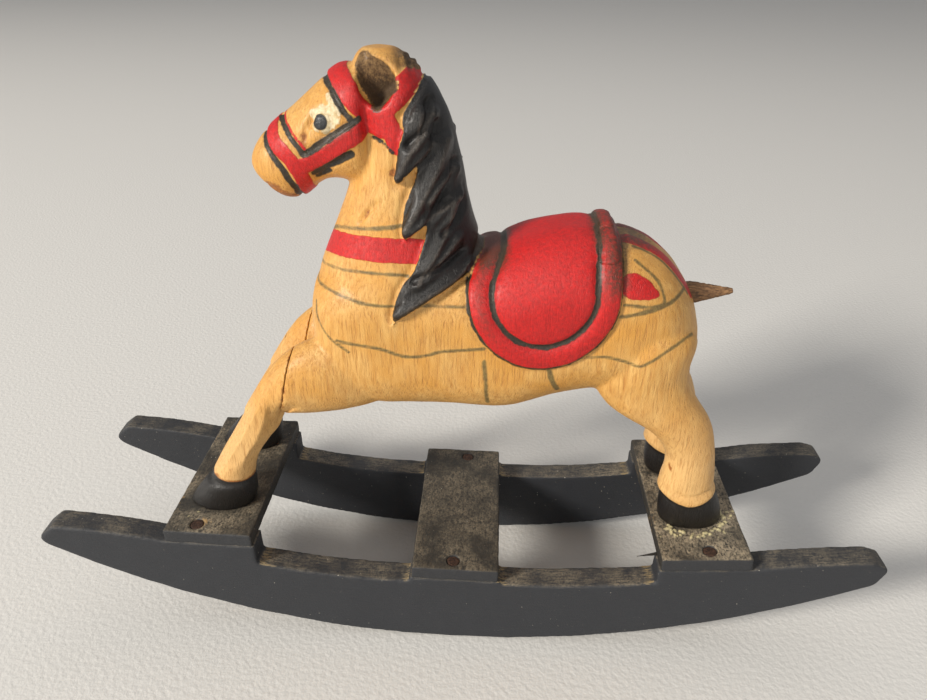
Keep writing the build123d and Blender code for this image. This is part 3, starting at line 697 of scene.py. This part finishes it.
def dark_paint_and_shadow(places, search, saddle):
    """Dark strokes beside the straps, along the groove inside the flap, and round the flap, where the stroke
    widens in front and below into a painted shadow of the raised flap.
    """
    x, _, z = places.T
    # painted shadow: the stroke round the flap widens in front and below
    flap_shadow_weight = np.clip((76.0 - z) / 10.0, 0, 1) + np.clip((8.0 - x) / 8.0, 0, 1)
    flap_outline_and_shadow = np.abs(saddle - 0.3) - 0.12 - 0.3 * np.clip(flap_shadow_weight, 0, 1)
    # a dark line along the groove inside the flap
    groove_line = np.abs(saddle + FLAP_GROOVE_INSET) - 0.5
    on_flap = (z > FLAP_LOW) & (z < 92.0)
    strokes = np.where(on_flap, np.minimum(flap_outline_and_shadow, groove_line), FAR)
    return np.minimum(nearest_of(places, search, STRAP_SHADOWS), strokes)


def dark_stain(places, search, left, hoof):
    """Stain on knots and rubbed spots, in the left foreleg's glue seam and just over the fore hooves."""
    x, side, z = places.T
    seam = stroke_distance(places[:, [0, 2]], np.array(SEAM)) - 0.12
    seam = np.where(left & (side > 3.4) & (z < 64.0), seam, FAR)
    over_hoof = np.where(x < 0, hoof - 0.45, FAR)
    return np.minimum(np.minimum(over_hoof, seam), nearest_of(places, search, STAINS))


def dirt_and_painted_shade(places, saddle, ear):
    """How much dirt lies on the horse, part by part, with painted shade low between the legs and deep in the
    ear's hollow.
    """
    x, side, z = places.T
    # painted shade: darker low on the inner faces between the legs
    shade_between_legs = ramp(-side, -7.0, -2.0) * ramp(-z, -62.0, -54.0) * 0.35
    croup = ramp(z, 82.0, 86.0) * ramp(x, 28.4, 31.0) * (1 - ramp(side, 3.0, 8.0)) * 1.3
    poll = ramp(z, 111.5, 115.5) * ramp(x, -13.0, -8.0) * 1.3
    withers = ramp(z, 80.0, 84.0) * ramp(x, 1.0, 5.0) * (1 - ramp(x, 7.0, 10.5)) * 1.5
    cantle = ramp(z, 84.5, 88.0) * bump_at(x - 24.0, 0.9) * 1.3
    off_flap = np.clip(saddle - 0.3, 0, None)
    behind_flap = bump_at(off_flap, 1.2) * ramp(x, 22.0, 28.0) * ramp(z, 76.0, 82.0) * 1.1
    flap_rim = bump_at(saddle + 2.0, 1.3) * (z > FLAP_LOW) * (0.15 + 0.4 * ramp(-x, -10.0, -4.0))
    # painted shade in the ear's hollow, darker towards its lower end
    shade_in_ear_hollow = np.where(ear < 0.2, 0.5 + 2.2 * ramp(-z, -113.0, -108.5), 0.0)
    cheek = bump_at(stroke_distance(places, flowing(CHEEK_DIRT)), 1.2) * 0.8
    return flap_rim + shade_between_legs + croup + poll + withers + cantle + behind_flap + shade_in_ear_hollow + cheek


def paint_marks(piece, points):
    """Marks where every paint lies, from the horse's own lines, with the painted highlight on the mane's
    crests and the painted shade.
    """
    places, search = mirrored(points)
    x, side, z = places.T
    saddle = saddle_edge(x, z)
    mane = np.where((z > MANE_LOW) & (z < 114.0), mane_edge(places), FAR)
    ear = np.where((side > 2.0) & (side < 7.5), ear_edge(places), FAR)
    hoof = hoof_top(x, z)
    crown = np.hypot(np.hypot(x - BARE_CROWN[0], z - BARE_CROWN[1]), side * 0.5) - 1.7
    eye = np.linalg.norm(places - np.array(EYE), axis=1)
    eye_ring = np.abs(eye - 1.45) - 0.28
    pale = np.minimum(nearest_of(places, search, PALE_PATCHES), eye_ring)
    lines = nearest_of(places, search, BRUSH_LINES)
    # painted highlight: grey along the crests of the mane's locks
    ridges = np.where(side > 3.0, nearest_line(places[:, [0, 2]], MANE_RIDGES) - 0.24, FAR)
    covered = (mane < 0) | (ear < 0)
    mark(piece, "stain", dark_stain(places, search, points[:, 1] < HORSE_Y, hoof))
    mark(piece, "lines", np.where(saddle < 0.6, FAR, lines))
    mark(piece, "pale", np.where(mane < 0, FAR, pale))
    mark(piece, "red", np.where(covered, FAR, red_paint(places, search, saddle)))
    mark(piece, "dark", np.where(covered, FAR, dark_paint_and_shadow(places, search, saddle)))
    mark(piece, "black", np.minimum(mane, hoof))
    mark(piece, "ridge_highlight", np.where(mane < -0.4, ridges, FAR))
    mark(piece, "bare", np.minimum(ear, crown))
    mark(piece, "eye", eye - 1.25)
    # dirt, with painted shade between the legs and in the ear's hollow
    mark(piece, "grime_and_shade", dirt_and_painted_shade(places, saddle, ear))


def saddle_relief(places):
    """The saddle: a padded seat inside the groove, a rolled rim and a cut round the flap."""
    x, _, z = places.T
    saddle = saddle_edge(x, z)
    seat = 0.45 * (1 - np.exp(-np.clip(-saddle - 4.7, 0, None) / 1.6))
    rim = 0.28 * bump_at(saddle + 2.0, 1.1)
    cuts = 0.55 * bump_at(saddle + FLAP_GROOVE_INSET, 0.55) + 0.35 * bump_at(saddle - 0.5, 0.5)
    return np.where(z > FLAP_LOW, seat + rim - cuts, 0.0)


def mane_relief(places, mane, in_mane):
    """The mane: sharp ridges and cuts between its locks, and a cut round its outline."""
    side, z = places[:, 1], places[:, 2]
    flat = places[:, [0, 2]]
    crest = np.clip(1 - nearest_line(flat, MANE_RIDGES) / 1.5, 0, 1)
    valley = np.clip(1 - nearest_line(flat, MANE_CUTS) / 0.9, 0, 1)
    outline = bump_at(np.where(mane > 0, mane - 0.35, FAR), 0.5) * (z > MANE_LOW)
    return in_mane * ramp(side, 1.6, 3.6) * (1.0 * crest - 1.1 * valley) - 0.4 * outline


def strap_relief(places, search, in_mane):
    """The bridle: raised straps that end at the mane, and grooves under the dark strokes beside them."""
    strap = np.zeros(len(places))
    for line, half_width in STRAPS[:-1]:
        away = stroke_distance(places, laid_on(search, line))
        strap = np.maximum(strap, ramp(half_width + 0.25 - away, 0.0, 0.45))
    groove = np.zeros(len(places))
    for line, half_width in STRAP_SHADOWS:
        groove += bump_at(stroke_distance(places, laid_on(search, line)), half_width)
    return 0.2 * strap * (1 - in_mane) - 0.4 * groove * (1 - strap)


def face_relief(points, places, search):
    """Eye bulge, knife cuts of the face, the gouge on the left of the neck and the broken crown."""
    x, _, z = places.T
    eye = np.linalg.norm(places - np.array(EYE), axis=1)
    rise = 0.35 * (1 - ramp(eye, 0.7, 1.7)) - 0.35 * bump_at(eye - 2.1, 0.4)
    for line, width, depth in FACE_CUTS:
        rise -= depth * bump_at(stroke_distance(places, laid_on(search, line)), width)
    gouge = stroke_distance(places, laid_on(search, GOUGE))
    rise -= 0.45 * bump_at(gouge, 0.45) * (points[:, 1] < 0)
    broken = bump_at(np.hypot(x - BROKEN_CROWN[0], z - BROKEN_CROWN[1]), 1.9)
    return rise + 0.4 * broken * np.sin(points[:, 1] * 1.7 + x * 1.1) * np.cos(x * 1.9 - z)


def hoof_relief(places):
    """Hooves: a lip of paint over each, the hind ones set in and creased above."""
    x, _, z = places.T
    hoof = hoof_top(x, z)
    hind = x > 0
    rise = np.where(hind, 0.2, 0.06) * bump_at(hoof - 0.7, 0.6)
    rise -= np.where(hind, 0.2, 0.05) * ramp(-hoof, -0.3, 0.3) * (z < HOOF_HIGH)
    return rise - np.where(x > 44.0, 0.25 * bump_at(hoof - 2.4, 0.3), 0.0)


def ear_scoop(places):
    """How far the ear's hollow goes in towards the middle plane, deeper at its lower end."""
    _, side, z = places.T
    scoop = ramp(-ear_edge(places), -0.1, 0.9) * ((side > 2.0) & (side < 8.0))
    return 0.9 * scoop * (1.0 + 1.2 * ramp(-z, -114.0, -109.0))


def carve(piece):
    """Cuts the horse's relief into a piece's skin, and returns where its points were before that."""
    points, _ = skin(piece)
    ease_cantle(points)
    plane_shin(points)
    set_skin(piece, points)
    points, normals = skin(piece)
    places, search = mirrored(points)
    mane = mane_edge(places)
    in_mane = ramp(-mane, -0.2, 0.5) * ((places[:, 2] > MANE_LOW) & (places[:, 2] < 113.0))
    rise = saddle_relief(places) + mane_relief(places, mane, in_mane) + strap_relief(places, search, in_mane)
    rise += face_relief(points, places, search) + hoof_relief(places)
    moved = points + normals * rise[:, None]
    moved[:, 1] -= np.sign(points[:, 1] - HORSE_Y) * ear_scoop(places)
    set_skin(piece, moved)
    return points


def finish_horse_piece(piece, node, unevenness, size, depth):
    """Carves, marks and roughens a piece of the horse, and gives it its painted wood."""
    paint_marks(piece, carve(piece))
    waver(piece, unevenness, size, depth)
    dress(piece, painted_wood, node)


horse = worked_copy("horse_carving", "carved_horse", voxel=0.43, smoothing=3)
finish_horse_piece(horse, "horse_carving", "horse_unevenness", size=6.0, depth=0.3)

CUFF_LOW, CUFF_HIGH = 32.0, 37.6  # heights between which a foreleg runs smoothly into its hoof

for hand in HANDS:
    leg = worked_copy(f"{hand}_foreleg", f"carved_{hand}_foreleg", voxel=0.30, smoothing=3)
    heights = skin(leg)[0][:, 2]
    cuff = leg.vertex_groups.new(name="cuff")
    cuff.add(np.flatnonzero((heights > CUFF_LOW) & (heights < CUFF_HIGH)).tolist(), 1.0, "REPLACE")
    finish_modifier(leg, "SMOOTH", factor=0.5, iterations=22, vertex_group="cuff")
    leg.vertex_groups.clear()
    finish_horse_piece(leg, f"{hand}_foreleg", f"{hand}_leg_unevenness", size=5.0, depth=0.2)

# ---- rockers and slats ---------------------------------------------------------------

PAD_STEPS = (-39.5, -9.6, 9.6, 39.6)  # x where a raised pad steps down to the plank's top, inside the base
PLANK_MIDDLE = 16.9  # mm from the base's middle plane

for hand in HANDS:
    rocker = worked_copy(f"{hand}_rocker", f"sawn_{hand}_rocker", voxel=0.32, smoothing=12)
    points, normals = skin(rocker)
    beside_pad = np.min([np.abs(points[:, 0] - step) for step in PAD_STEPS], axis=0)
    upper = ramp(normals[:, 2], 0.3, 0.8)
    edge = ramp(np.abs(np.abs(points[:, 1]) - PLANK_MIDDLE), 1.7, 2.5)
    mark(rocker, "rubbed", upper * (0.45 + 0.42 * bump_at(beside_pad, 1.6)) + 0.22 * upper * edge)
    mark(rocker, "dust", 0.45 + 0.35 * bump_at(beside_pad, 5.0))
    waver(rocker, f"{hand}_rocker_unevenness", size=9.0, depth=0.35)
    dress(rocker, charcoal_paint, f"{hand}_rocker")

SLAT_WEAR = {  # dust all over, more dust by the left nail, wear round that nail, crumbs of dried glue
    "front": (0.22, 0.75, 0.55, 6),
    "centre": (0.42, 0.05, 0.12, 0),
    "rear": (0.85, 0.25, 0.12, 80),
}
HOOVES_ON = {"front": "fore", "rear": "hind"}
HOOF_REACH = 6.4  # half the length of a hoof
HOOF_SLIM = 1.1  # how much shorter a hoof is across than along


def middle_of(node):
    """The middle of a CAD node's plan, in mm."""
    low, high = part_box(node)
    return (low.x + high.x) / 2 / MM, (low.y + high.y) / 2 / MM


def off_hooves(points, place):
    """Distance of each point from the edges of the two hooves on a slat, in plan."""
    away = np.full(len(points), np.inf)
    for hand in HANDS if place in HOOVES_ON else ():
        hoof_x, hoof_y = middle_of(f"{hand}_{HOOVES_ON[place]}_hoof_nail")
        off_middle = np.hypot(points[:, 0] - hoof_x, (points[:, 1] - hoof_y) * HOOF_SLIM)
        away = np.minimum(away, off_middle - HOOF_REACH)
    return away


def drop_glue(points, normals, place, crumbs):
    """Crumbs of dried glue round the left hoof: how much each point of the slat's top rises."""
    chance = np.random.default_rng(11)
    rise = np.zeros(len(points))
    for _ in range(crumbs):
        hoof_x, hoof_y = middle_of(f"left_{HOOVES_ON[place]}_hoof_nail")
        around = chance.uniform(-2.6, 1.0)
        off = HOOF_REACH - 0.4 + chance.gamma(1.1, 0.9)
        size = chance.uniform(0.18, 0.42)
        crumb_x, crumb_y = hoof_x + off * math.cos(around), hoof_y + off * math.sin(around) / HOOF_SLIM
        away = np.hypot(points[:, 0] - crumb_x, points[:, 1] - crumb_y)
        rise = np.maximum(rise, size * np.sqrt(np.clip(1 - (away / size) ** 2, 0, 1)))
    return rise * ramp(normals[:, 2], 0.6, 0.9)


def wear_slat(slat, place):
    """Marks a slat's painted ends, rubbed spots, dust and glue, and raises the glue's crumbs."""
    dust, nail_dust, nail_wear, crumbs = SLAT_WEAR[place]
    points, normals = skin(slat)
    nail_x, nail_y = middle_of(f"{place}_slat_left_nail")
    off_nail = np.hypot(points[:, 0] - nail_x - 0.6, (points[:, 1] - nail_y) * 1.3)
    middle = (points[:, 0].min() + points[:, 0].max()) / 2
    by_edge = ramp(np.abs(points[:, 0] - middle), 7.4, 8.6)
    off_hoof = off_hooves(points, place)
    rubbed = 0.46 + nail_wear * bump_at(off_nail, 1.9) + 0.2 * bump_at(off_hoof - 1.6, 1.1) + 0.1 * by_edge
    mark(slat, "painted_end", ramp(np.abs(normals[:, 1]), 0.5, 0.8))
    mark(slat, "rubbed", rubbed)
    mark(slat, "dust", dust + nail_dust * bump_at(off_nail, 4.5) + 0.5 * bump_at(off_hoof - 1.8, 2.2))
    glue = drop_glue(points, normals, place, crumbs)
    mark(slat, "glue", ramp(glue, 0.02, 0.2))
    set_skin(slat, points + normals * glue[:, None])


for place in SLATS:
    slat = worked_copy(f"{place}_slat", f"sawn_{place}_slat", voxel=0.28, smoothing=3)
    wear_slat(slat, place)
    waver(slat, f"{place}_slat_unevenness", size=2.2, depth=0.22)
    dress(slat, slat_paint, f"{place}_slat")
    for hand in HANDS:
        nail = worked_copy(f"{place}_slat_{hand}_nail", f"{place}_{hand}_nail_hammered",
                           voxel=0.14, smoothing=2)
        waver(nail, f"{place}_{hand}_dents", size=0.9, depth=0.2)
        dress(nail, rusted_steel, f"{place}_slat_{hand}_nail")

# A long sliver that lifted from the lower front edge of the rear slat, beside the left rocker. It points
# forward and a little outward, and its thick end is inside the slat.
SLIVER_LENGTH, SLIVER_BUTT, SLIVER_TIP = 6.0 * MM, 0.55 * MM, 0.05 * MM
SLIVER_Y = -15.6 * MM
slat_low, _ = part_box("rear_slat")
bpy.ops.object.select_all(action="DESELECT")
bpy.ops.mesh.primitive_cone_add(vertices=7, radius1=SLIVER_BUTT, radius2=SLIVER_TIP, depth=SLIVER_LENGTH,
                                location=(slat_low.x - 1.2 * MM, SLIVER_Y, slat_low.z + 0.9 * MM),
                                rotation=(0.0, -math.pi / 2, 0.22))
splinter = bpy.context.active_object
splinter.name = "rear_slat_splinter"
bpy.ops.object.transform_apply(location=True, rotation=True, scale=True)
bpy.ops.object.mode_set(mode="EDIT")
bpy.ops.mesh.select_all(action="SELECT")
bpy.ops.mesh.subdivide(number_cuts=3)
bpy.ops.transform.resize(value=(1.0, 1.0, 0.5), center_override=splinter.bound_box[0])
bpy.ops.transform.vertex_random(offset=0.05 * MM, seed=3)
bpy.ops.object.mode_set(mode="OBJECT")
splinter.data.materials.append(slat_paint)
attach(splinter, "root")

# ---- tail peg, hidden nails and dowels -----------------------------------------------

peg = worked_copy("tail_peg", "broken_tail_peg", voxel=0.16, smoothing=2)
waver(peg, "peg_fibres", size=0.9, depth=0.35)
dress(peg, bare_wood, "tail_peg")

for hand in HANDS:
    coat(NODES[f"{hand}_foreleg_dowel"], bare_wood)
    for pair in ("fore", "hind"):
        coat(NODES[f"{hand}_{pair}_hoof_nail"], rusted_steel)
